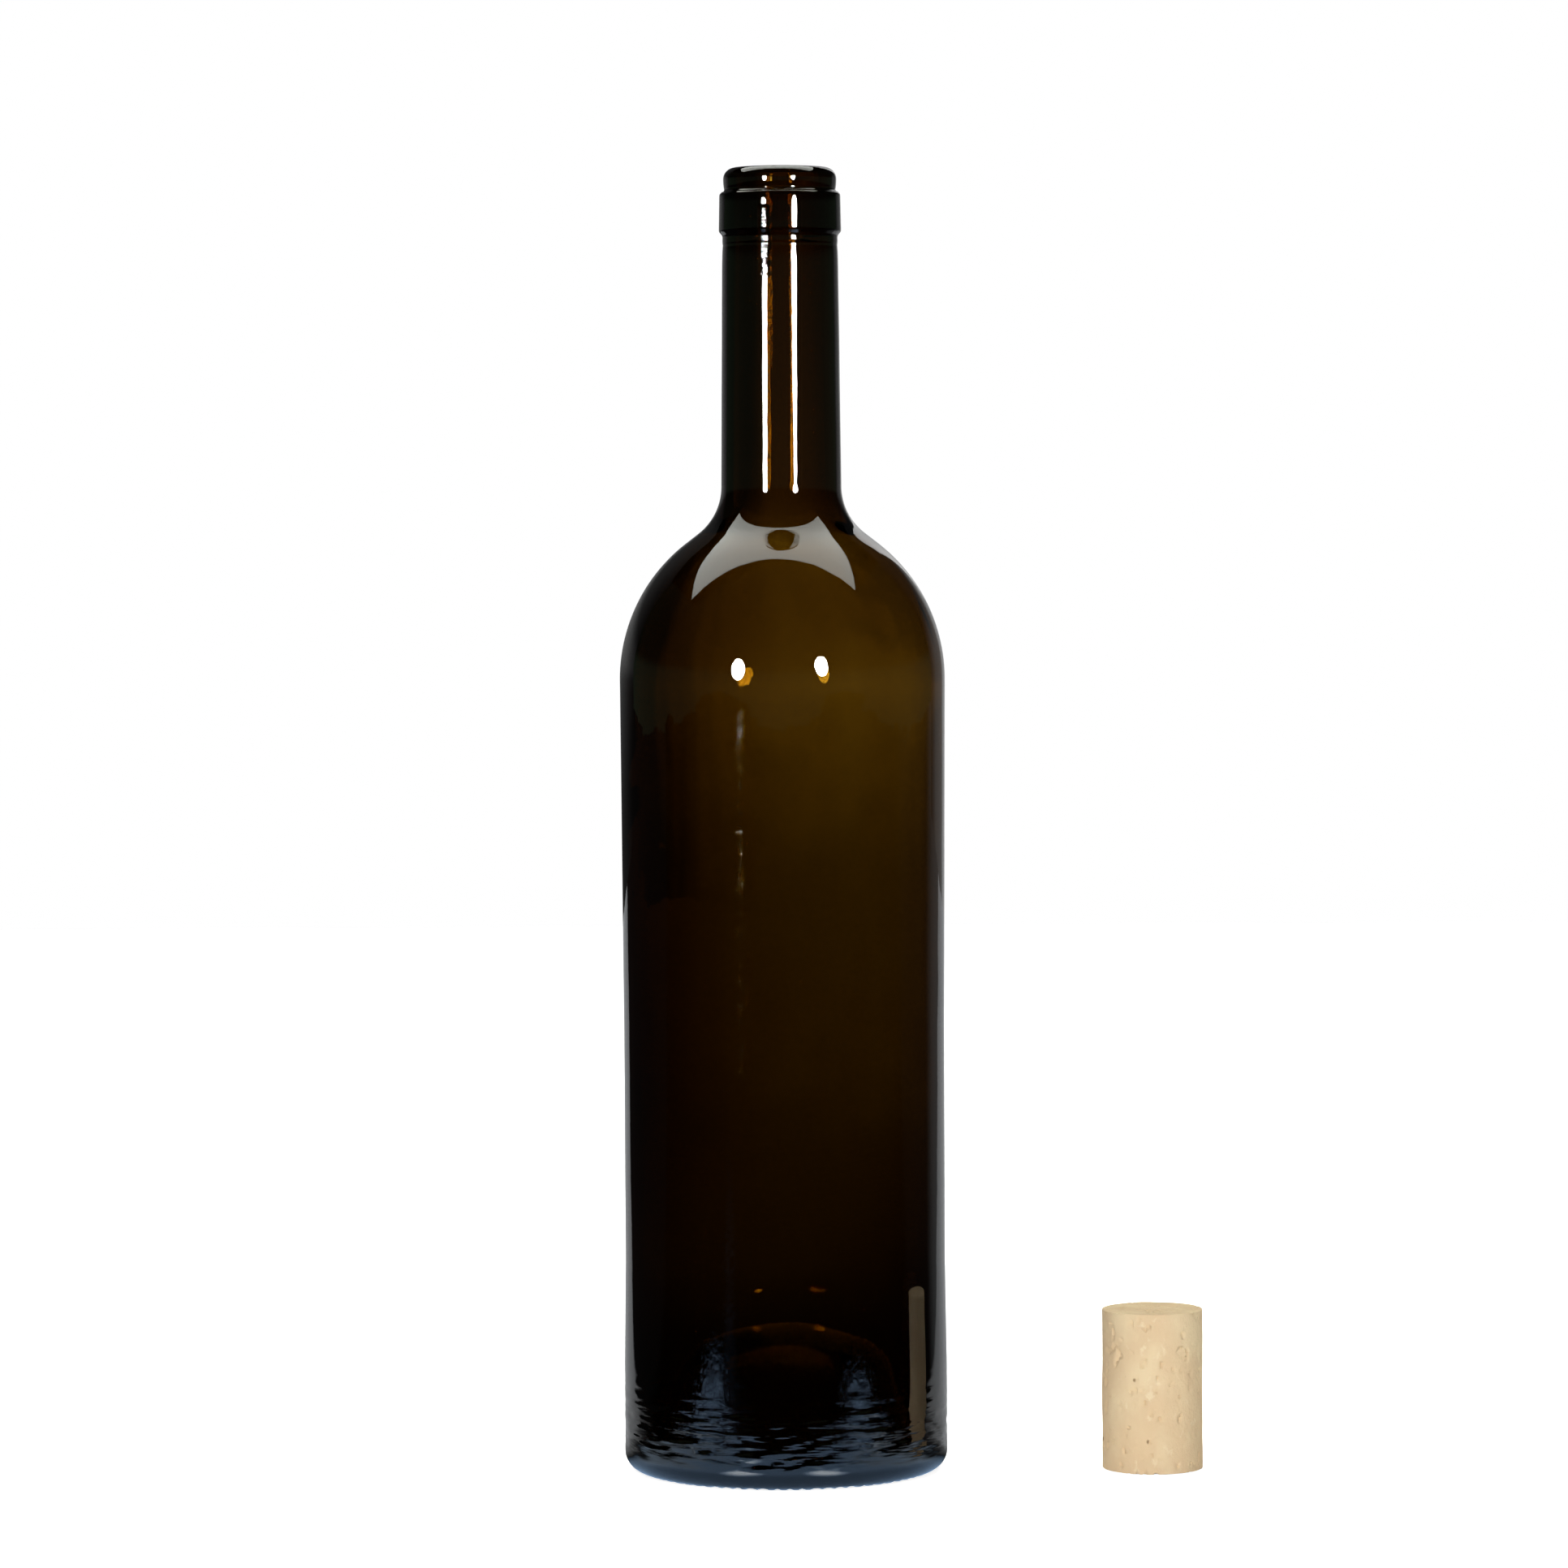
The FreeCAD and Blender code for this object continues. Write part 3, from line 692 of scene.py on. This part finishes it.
def is_inside(place, normal):
    """True on the wall's inner surface, above the valley round the punt."""
    return normal.x * place.x + normal.y * place.y < 0 and place.z > 14 * MM


class BOTTLE_OT_blow_glass(bpy.types.Operator):
    """Spin the glass from its outline, then add knurling and the waves of blown glass"""

    bl_idname = "bottle.blow_glass"
    bl_label = "Blow the bottle"

    def execute(self, context):
        glass = context.scene.bottle_glass
        top = BOTTLE_HIGH.z
        shoulder_radius = (BOTTLE_HIGH.x - BOTTLE_LOW.x) / 2
        outline = joined(
            outside_outline(glass, top, shoulder_radius), inside_outline(glass, top, shoulder_radius)
        )
        turns = []
        for _ in range(2):
            turns += [(1, step) for step in FINE_STEPS]
            turns.append((HALF_TURN_STEPS, math.pi - FINE_TURN))
        piece = lathe("bottle_glass", outline, SEAM_ANGLE - FINE_TURN / 2, turns)
        self.shift_hollow(piece, glass)
        self.knurl(piece, glass)
        self.wave(piece, glass, top)
        make_active(piece)
        bpy.ops.object.shade_smooth()
        finish_piece(piece, glass_material(glass), "glass", "bottle")
        return {"FINISHED"}

    def shift_hollow(self, piece, glass):
        """The hollow sits a little to the right, so the left wall is the thicker one."""

        def in_hollow(vertex):
            return is_inside(vertex.co, vertex.normal) and SHIFT_LOW < vertex.co.z < SHIFT_HIGH

        pick(piece, "VERT", in_hollow)
        bpy.ops.transform.translate(
            value=(glass.wall_shift, 0, 0),
            use_proportional_edit=True,
            use_proportional_connected=True,
            proportional_edit_falloff="SMOOTH",
            proportional_size=SHIFT_FADE,
        )
        bpy.ops.object.mode_set(mode="OBJECT")

    def knurl(self, piece, glass):
        """Short scallops across the outer half of the foot."""
        inner = foot_across(glass) + glass.bearing_width / 2

        def in_scallop(vertex):
            place = vertex.co
            radius = math.hypot(place.x, place.y)
            turn = (math.atan2(place.y, place.x) % KNURL_PITCH) / KNURL_PITCH
            return inner - MM * 0.1 < radius < inner + 3 * MM and place.z < 0.9 * MM and turn < 0.5

        pick(piece, "VERT", in_scallop)
        bpy.ops.transform.translate(value=(0, 0, glass.knurl_depth))
        bpy.ops.object.mode_set(mode="OBJECT")

    def wave(self, piece, glass, top):
        """Waves of blown glass: long and upright inside, faint outside, short ripples by the heel."""

        def outer(place, normal):
            rise = ramp(5 * MM, 9 * MM, place.z) * ramp(top - 1 * MM, top - 5 * MM, place.z)
            return rise if is_outside(place, normal) else 0.0

        def inner(place, normal):
            rise = ramp(14 * MM, 24 * MM, place.z) * ramp(top - 1 * MM, top - 8 * MM, place.z)
            return 0.0 if is_outside(place, normal) else rise

        def heel(place, normal):
            rise = ramp(4 * MM, 7 * MM, place.z) * ramp(27 * MM, 14 * MM, place.z)
            return rise if is_outside(place, normal) else 0.0

        waves = glass.inner_waves
        weigh(piece, "outer", outer)
        weigh(piece, "inner", inner)
        weigh(piece, "heel", heel)
        displace(piece, clouds(0.011), glass.outer_waves, 1.0, "outer", (1, 1, 1.3))
        displace(piece, clouds(0.012), waves, 0.5, "inner", (1, 1, 9))
        displace(piece, clouds(0.016, 1), 0.55 * waves, 0.5, "inner", (1, 1, 1), (0.3, 0.2, 0.1))
        displace(piece, clouds(0.0015, 1), glass.heel_ripples, 0.62, "heel", (4.0, 4.0, 1))
        piece.vertex_groups.clear()


# ---------------------------------------------------------------- the cork


CORK_SIDES = 160
CORK_RINGS = 76
END_RINGS = 15
END_RING_WIDTH = 0.72 * MM
# An end faces straight up or down. The bevel's first ring leans by about 8 degrees.
LEVEL_NORMAL = 0.999


class BOTTLE_OT_cut_cork(bpy.types.Operator):
    """Cut the cork from a cylinder and open its pores"""

    bl_idname = "bottle.cut_cork"
    bl_label = "Cut the cork"

    def execute(self, context):
        cork = context.scene.bottle_cork
        middle = (CORK_LOW + CORK_HIGH) / 2
        size = CORK_HIGH - CORK_LOW
        deselect_all()
        bpy.ops.mesh.primitive_cylinder_add(
            vertices=CORK_SIDES, radius=size.x / 2, depth=size.z, location=middle, end_fill_type="NGON"
        )
        piece = bpy.context.object
        piece.name = "cork_natural"
        bpy.ops.object.transform_apply(location=True, rotation=True, scale=True)
        self.divide_ends(piece, cork)
        self.divide_side(piece, size)
        self.open_pores(piece, cork, middle)
        make_active(piece)
        bpy.ops.object.shade_smooth_by_angle(angle=math.radians(40))
        finish_piece(piece, cork_material(cork), "cork", "cork")
        return {"FINISHED"}

    def divide_ends(self, piece, cork):
        """Break both edges, then lay rings on both ends, up to their middles."""

        def is_level(face):
            return abs(face.normal.z) > LEVEL_NORMAL

        pick(piece, "FACE", is_level)
        bpy.ops.mesh.bevel(offset=cork.edge, segments=3, profile=0.6, affect="EDGES")
        pick(piece, "FACE", is_level)
        for _ in range(END_RINGS):
            bpy.ops.mesh.inset(thickness=END_RING_WIDTH)
        bpy.ops.mesh.merge(type="COLLAPSE")

    def divide_side(self, piece, size):
        """Level rings up the side, so that pores have edges to bend."""
        make_active(piece)
        places = [vertex.co.copy() for vertex in piece.data.vertices]

        def is_upright(edge):
            low, high = (places[index] for index in edge.vertices)
            return abs(low.z - high.z) > size.z / 2

        pick(piece, "EDGE", is_upright)
        bpy.ops.mesh.subdivide(number_cuts=CORK_RINGS)
        heal()

    def open_pores(self, piece, cork, middle):
        """Slow unevenness, then small pits, all cut inwards."""
        displace(piece, clouds(0.009, 1), cork.swell, 1.0)
        pits = clouds(0.0014)
        pits.use_color_ramp = True
        whole, pit = pits.color_ramp.elements
        whole.position, whole.color = 0.62, (1, 1, 1, 1)
        pit.position, pit.color = 0.74, (0, 0, 0, 1)
        displace(piece, pits, cork.pit_depth, 1.0, "", (1, 1, 1.6), middle)


# ---------------------------------------------------------------- the stage

# Colours of the floor in reflections: by the bottle, out to its sides, under a glare, and far off.
NEAR_TONE = (0.43, 0.66, 1.0)
SIDE_TONE = (0.70, 0.84, 0.97)
GLARE_TONE = (0.84, 0.93, 1.0)
FAR_TONE = (0.94, 0.97, 1.0)
ROOF_TONE = (0.95, 0.98, 0.91)
ROOM_TONE = (0.7, 1.0, 0.65)
# Where the lamps glare on the floor, just in front of the bottle.
GLARE_SPOTS = ((-0.0185, -0.0500), (0.0165, -0.0507))
GLARE_LEVEL = 5.0
# Streaks of light on the floor: bearing from straight ahead in degrees, reach and brightness.
STREAKS = ((-48.5, 0.40, 1.6), (47.0, 0.30, 1.5), (-39.0, 0.90, 0.08))
# Edges of the softbox: a direction across and back, and how far along it the light starts.
ROOF_EDGES = (
    (0.075, 1.0, -0.04),
    (0.724, -0.690, -0.823),
    (-0.856, -0.517, -0.632),
    (0.0, -1.0, -0.95),
)
ROOF_BLUR = 0.01
# The front lamps: name, bearing in degrees, height and share of the fill.
LAMPS = (("left", -30.8, 0.352, 1.08), ("right", 27.3, 0.392, 0.72))


def add_sheet(name, place, size, upright=False):
    """A flat sheet of the stage, level or upright."""
    deselect_all()
    turn = math.pi / 2 if upright else 0.0
    bpy.ops.mesh.primitive_plane_add(size=1.0, rotation=(turn, 0, 0), location=place)
    sheet = bpy.context.object
    sheet.name = name
    sheet.scale = (*size, 1.0)
    bpy.ops.object.transform_apply(location=True, rotation=True, scale=True)
    return sheet


def near_light(shade, position, away, aside):
    """A painted pool of light on the floor in front of the bottle, as glass mirrors it, and the painted
    streaks of light that leave it.
    """
    across, back, _ = shade.split(position)
    light = shade.times(
        shade.step(away, 0.092, 0.080, 0.0, 1.4),
        shade.step(aside, 0.085, 0.050),
        # Dimmer close round the foot: painted contact shadow.
        shade.step(away, 0.040, 0.056, 0.60, 1.0),
        shade.step(back, 0.012, -0.015),
    )
    cloudy = shade.step(shade.noise(position, 70.0, 4.0, 0.7), 0.40, 0.60, 0.3, 1.2)
    for bearing, far, level in STREAKS:
        side, ahead = math.sin(math.radians(bearing)), -math.cos(math.radians(bearing))
        run = shade.math("MULTIPLY_ADD", back, ahead, shade.times(across, side))
        off = shade.math("MULTIPLY_ADD", back, side, shade.times(across, -ahead))
        ragged = shade.math("MULTIPLY_ADD", cloudy, -0.03, shade.math("ABSOLUTE", off))
        streak = shade.times(
            shade.step(run, 0.05, 0.10),
            shade.step(run, far, 0.12, 0.0, level),
            shade.step(ragged, 0.018, -0.018),
            cloudy,
        )
        light = shade.math("MAXIMUM", light, streak)
    return light


def far_light(shade, position):
    """A painted wedge of light on the floor behind the bottle, as glass mirrors it, with a dimmer stretch
    of painted light beyond its right edge.
    """
    across, back, _ = shade.split(position)
    inward = shade.math("SUBTRACT", shade.math("MULTIPLY_ADD", back, 0.62, 0.10), across)
    bright = shade.times(shade.step(inward, -0.03, 0.0), shade.step(inward, 0.0, 0.2, 0.44, 0.66))
    bearing = shade.math("DIVIDE", shade.math("SUBTRACT", across, 0.036), shade.math("ADD", back, 0.012))
    right = shade.math("MAXIMUM", bright, shade.step(bearing, 1.6, 0.95, 0.01, 0.12))
    left = shade.math("ADD", shade.math("MULTIPLY_ADD", back, 0.53, 0.085), across)
    left = shade.step(left, -0.02, 0.0, 0.01, 0.46)
    return shade.times(shade.math("MINIMUM", right, left), shade.step(back, 0.0, 0.05))


def lamp_glare(shade, position):
    """The lamps' own light on the floor, just in front of the bottle."""
    glare = 0.0
    for spot in GLARE_SPOTS:
        near = shade.step(shade.distance(position, (*spot, 0.0)), 0.011, 0.003)
        glare = shade.math("MAXIMUM", glare, near)
    return glare


class BOTTLE_OT_set_stage(bpy.types.Operator):
    """Lay the pale floor, hang the backdrop and place the lights and the camera"""

    bl_idname = "bottle.set_stage"
    bl_label = "Set the stage"

    def execute(self, context):
        stage = context.scene.bottle_stage
        self.lay_floor()
        self.hang_backdrop()
        self.hang_roof(stage)
        self.light_world(context, stage)
        self.place_lamps(stage)
        self.place_camera(context, stage)
        context.scene.view_settings.view_transform = "Standard"
        return {"FINISHED"}

    def lay_floor(self):
        """A pale table top. Glass mirrors painted light on it: a patch near the bottle, and a far wedge."""
        floor = add_sheet("floor", (0, 0, 0), (8.0, 8.0))
        material, shade, shader, output = new_material("pale floor")
        shade.fill(shader, {"Base Color": (0.86, 0.86, 0.86), "Roughness": 0.9})
        position = shade.position()
        across, back, _ = shade.split(position)
        away, aside = shade.distance(position), shade.math("ABSOLUTE", across)
        near = near_light(shade, position, away, aside)
        far = far_light(shade, position)
        glare = lamp_glare(shade, position)
        at_side = shade.times(shade.step(aside, 0.03, 0.08), shade.step(away, 0.11, 0.09))
        tone = shade.mix(at_side, NEAR_TONE, SIDE_TONE)
        tone = shade.mix(shade.math("GREATER_THAN", near, far), FAR_TONE, tone)
        tone = shade.mix(glare, tone, GLARE_TONE)
        mirrored = shade.math("MULTIPLY_ADD", glare, GLARE_LEVEL, shade.math("MAXIMUM", near, far))
        # Through the glass the floor shows painted light: none close to the bottle, brighter far behind.
        through = shade.times(shade.step(back, 0.25, 1.3, 0.16, 0.42), shade.step(away, 0.08, 0.40))
        plain = shader.outputs["BSDF"]
        by_ray = {
            "Glossy": shade.glow(mirrored, tone),
            "Transmission": shade.glow(through),
            "Camera": shade.add("AddShader", {0: plain, 1: shade.glow(0.8)}).outputs[0],
        }
        shade.fill(output, {"Surface": shade.show(plain, by_ray)})
        floor.data.materials.append(material)

    def hang_backdrop(self):
        """White behind the bottle. As the glass sees it, painted shade makes it darker to the left and low
        down, and painted light brightens a band right of the middle.
        """
        drop = add_sheet("backdrop", (0, 1.9, 1.0), (4.4, 2.0), upright=True)
        material, shade, _, output = new_material("backdrop")
        across, _, up = shade.split(shade.position())
        # Through the glass: painted shade to the left and low down.
        through = shade.times(
            shade.step(across, -0.42, -0.05, 0.15, 1.0),
            shade.step(up, 0.0, 0.15, 0.42, 1.0),
            shade.step(up, 0.215, 0.265, 1.0, 0.76),
        )
        edge = shade.math("MULTIPLY_ADD", shade.math("MINIMUM", up, 1.15), 0.55, 0.25)
        # In reflections: a painted band of light right of the middle.
        bright = shade.times(
            shade.step(shade.math("SUBTRACT", edge, across), 0.0, 0.04),
            shade.step(up, 0.28, 0.36),
            shade.step(across, -0.02, 0.02),
            shade.step(across, 0.05, 0.8, 0.36, 1.4),
        )
        # In reflections: painted dim light on either side.
        at_left = shade.times(
            shade.step(across, -2.2, -1.0, 0.08, 0.20),
            shade.step(up, 0.03, 0.30, 0.12, 1.0),
            shade.step(up, 0.75, 0.38, 0.25, 1.0),
        )
        at_right = shade.times(
            shade.step(across, 0.65, 0.95, 0.45, 0.17),
            shade.step(across, 2.2, 1.5, 0.3, 1.0),
            shade.step(up, 0.95, 0.34, 0.1, 1.0),
        )
        dim = shade.mix(shade.step(across, -0.01, 0.01), at_left, at_right)
        by_ray = {
            "Glossy": shade.glow(shade.math("MAXIMUM", bright, dim)),
            "Transmission": shade.glow(through),
            "Camera": shade.glow(1.0),
        }
        shade.fill(output, {"Surface": shade.show(shade.glow(0.12), by_ray)})
        drop.data.materials.append(material)

    def hang_roof(self, stage):
        """A softbox high behind the bottle that narrows to the back, with its front edge overhead."""
        roof = add_sheet("softbox", (-0.15, 0.42, 1.1), (1.96, 1.12))
        material, shade, _, output = new_material("softbox")
        across, back, _ = shade.split(shade.position())
        inside = 1.0
        for along, deep, edge in ROOF_EDGES:
            reach = shade.math("ADD", shade.times(across, along), shade.times(back, deep))
            inside = shade.times(inside, shade.step(reach, edge - ROOF_BLUR, edge + ROOF_BLUR))
        level = shade.times(inside, stage.roof_radiance)
        shade.fill(output, {"Surface": shade.glow(level, ROOF_TONE)})
        roof.data.materials.append(material)
        roof.visible_camera = False

    def light_world(self, context, stage):
        """White to the camera and through the glass, a dim room in reflections, a plain fill."""
        world = bpy.data.worlds.new("studio")
        context.scene.world = world
        world.use_nodes = True
        shade = Shading(world.node_tree)
        plain = world.node_tree.nodes["Background"]
        shade.fill(plain, {"Color": WHITE, "Strength": stage.world_light})
        up = shade.split(shade.add("TexCoord").outputs["Generated"])["Z"]
        room = shade.step(up, 0.14, 0.06, 0.012, 0.055)
        by_ray = {
            "Glossy": shade.glow(room, ROOM_TONE, "Background"),
            "Transmission": shade.glow(0.6, WHITE, "Background"),
            "Camera": shade.glow(1.0, WHITE, "Background"),
        }
        surface = shade.show(plain.outputs["Background"], by_ray)
        shade.fill(world.node_tree.nodes["World Output"], {"Surface": surface})

    def place_lamp(self, name, place, stage, radiance):
        """One oval lamp that faces the bottle's axis at its own height."""
        data = bpy.data.lights.new(name, "AREA")
        data.shape = "ELLIPSE"
        data.size, data.size_y = stage.lamp_width, stage.lamp_height
        area = stage.lamp_width * stage.lamp_height * (math.pi / 4)
        data.energy = radiance * math.pi * area
        lamp = bpy.data.objects.new(name, data)
        lamp.location = place
        aim = Vector((0, 0, place[2])) - Vector(place)
        lamp.rotation_euler = aim.to_track_quat("-Z", "Y").to_euler()
        lamp.visible_camera = False
        bpy.context.collection.objects.link(lamp)
        return lamp

    def place_lamps(self, stage):
        """Two front lamps, each once as glass mirrors it and once as it lights plain things."""
        for name, bearing, height, share in LAMPS:
            turn = math.radians(bearing)
            across = stage.lamp_distance * math.sin(turn)
            forward = -stage.lamp_distance * math.cos(turn)
            for kind, radiance in (("flash", stage.lamp_radiance), ("fill", stage.lamp_fill * share)):
                lamp = self.place_lamp(f"{name} {kind}", (across, forward, height), stage, radiance)
                lamp.visible_diffuse = kind == "fill"
                lamp.visible_glossy = kind == "flash"
                lamp.visible_transmission = kind == "flash"

    def place_camera(self, context, stage):
        data = bpy.data.cameras.new("camera")
        data.lens = stage.lens
        data.sensor_width = 36.0
        data.clip_start = 0.05
        camera = bpy.data.objects.new("camera", data)
        camera.location = (stage.camera_side, -stage.camera_distance, stage.camera_height)
        tilt = Matrix.Rotation(math.pi / 2 - stage.camera_pitch, 3, "X")
        camera.rotation_euler = (tilt @ Matrix.Rotation(-stage.camera_roll, 3, "Z")).to_euler()
        context.collection.objects.link(camera)
        context.scene.camera = camera


# ---------------------------------------------------------------- the panel


class BOTTLE_PT_panel(bpy.types.Panel):
    """The bottle's operators and sizes"""

    bl_idname = "BOTTLE_PT_panel"
    bl_label = "Wine bottle"
    bl_space_type = "VIEW_3D"
    bl_region_type = "UI"
    bl_category = "Bottle"

    def draw(self, context):
        for operator, group in (
            (BOTTLE_OT_blow_glass, context.scene.bottle_glass),
            (BOTTLE_OT_cut_cork, context.scene.bottle_cork),
            (BOTTLE_OT_set_stage, context.scene.bottle_stage),
        ):
            box = self.layout.box()
            box.operator(operator.bl_idname)
            for name in group.__annotations__:
                box.prop(group, name)


SETTINGS = {
    "bottle_glass": GlassSettings,
    "bottle_cork": CorkSettings,
    "bottle_stage": StageSettings,
}
CLASSES = (
    *SETTINGS.values(),
    BOTTLE_OT_blow_glass,
    BOTTLE_OT_cut_cork,
    BOTTLE_OT_set_stage,
    BOTTLE_PT_panel,
)


def register():
    for item in CLASSES:
        bpy.utils.register_class(item)
    for name, group in SETTINGS.items():
        setattr(bpy.types.Scene, name, PointerProperty(type=group))


def unregister():
    for name in SETTINGS:
        delattr(bpy.types.Scene, name)
    for item in reversed(CLASSES):
        bpy.utils.unregister_class(item)


def main():
    register()
    bpy.ops.bottle.blow_glass()
    bpy.ops.bottle.cut_cork()
    bpy.ops.bottle.set_stage()


if __name__ == "__main__":
    main()
